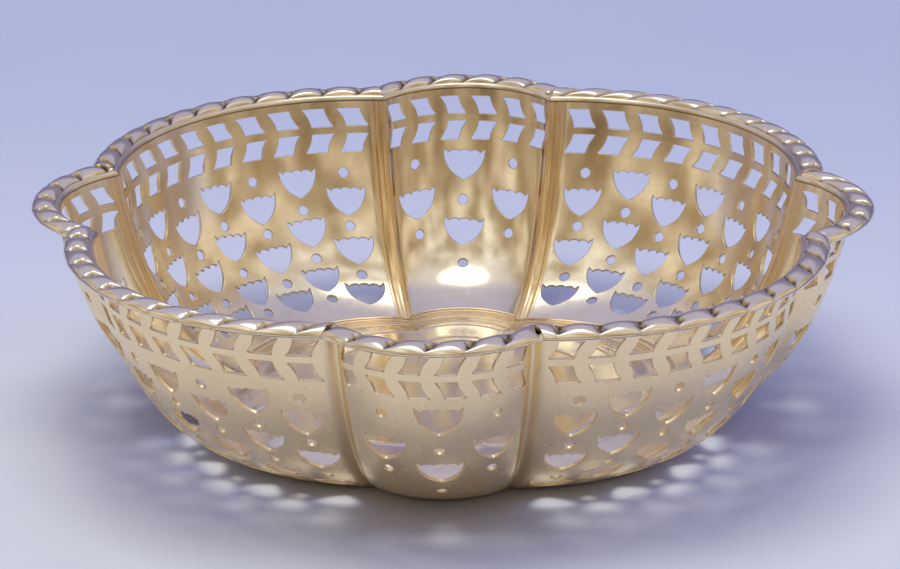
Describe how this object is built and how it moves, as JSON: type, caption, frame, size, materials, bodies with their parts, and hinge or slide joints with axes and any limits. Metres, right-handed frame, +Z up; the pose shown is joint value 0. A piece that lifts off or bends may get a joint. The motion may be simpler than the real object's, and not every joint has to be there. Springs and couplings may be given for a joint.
{
  "type": "bonbon bowl",
  "caption": "Low round bonbon bowl of pierced sheet silver with alternating small and large lobes, a flat stepped base and a rope-twist rim.",
  "frame": {"origin": "middle of the flat ring that the bowl rests on, on the table surface", "axes": "+Z up through the middle of the bowl; -Y towards the small lobe nearest the viewer in the picture, +X to the viewer's right"},
  "size_m": [0.14, 0.14, 0.0363],
  "materials": {
    "silver": "polished sterling silver"
  },
  "bodies": {
    "root": {"pierced_body": "silver", "rope_border_right": "silver", "rope_border_back_right": "silver", "rope_border_back": "silver", "rope_border_back_left": "silver", "rope_border_left": "silver", "rope_border_front_left": "silver", "rope_border_front": "silver", "rope_border_front_right": "silver"}
  },
  "joints": []
}
